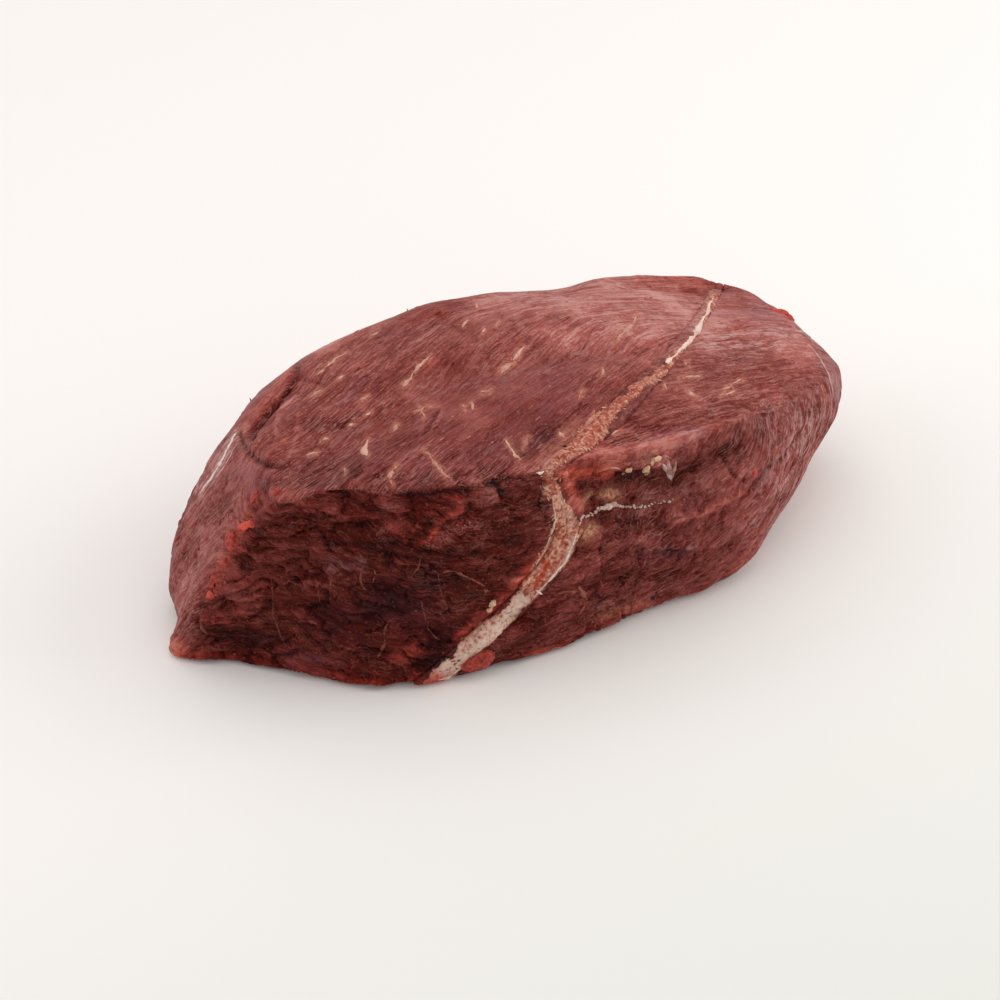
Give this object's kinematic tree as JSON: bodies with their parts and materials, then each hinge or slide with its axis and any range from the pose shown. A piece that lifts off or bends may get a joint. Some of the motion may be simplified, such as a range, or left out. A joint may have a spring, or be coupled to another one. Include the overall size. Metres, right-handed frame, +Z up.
{
  "type": "raw beef pot roast",
  "caption": "Raw boneless beef pot roast: a lens-shaped cut of two muscles joined by a seam of sinew and fat, lying on its flat underside.",
  "frame": {"origin": "middle of the bounding box in plan, on the underside", "axes": "+X along the length, from the flared cut corner to the rounded end; +Z up; the cut face looks towards -Y"},
  "size_m": [0.2404, 0.1278, 0.0722],
  "materials": {
    "long_muscle": "moist raw lean beef, dark red with fine grain",
    "short_muscle": "moist raw lean beef, paler red with slanted fibres",
    "sinew": "moist cream and pink sinew and fat"
  },
  "bodies": {
    "root": {"long_muscle": "long_muscle", "short_muscle": "short_muscle", "sinew_seam": "sinew"}
  },
  "joints": []
}
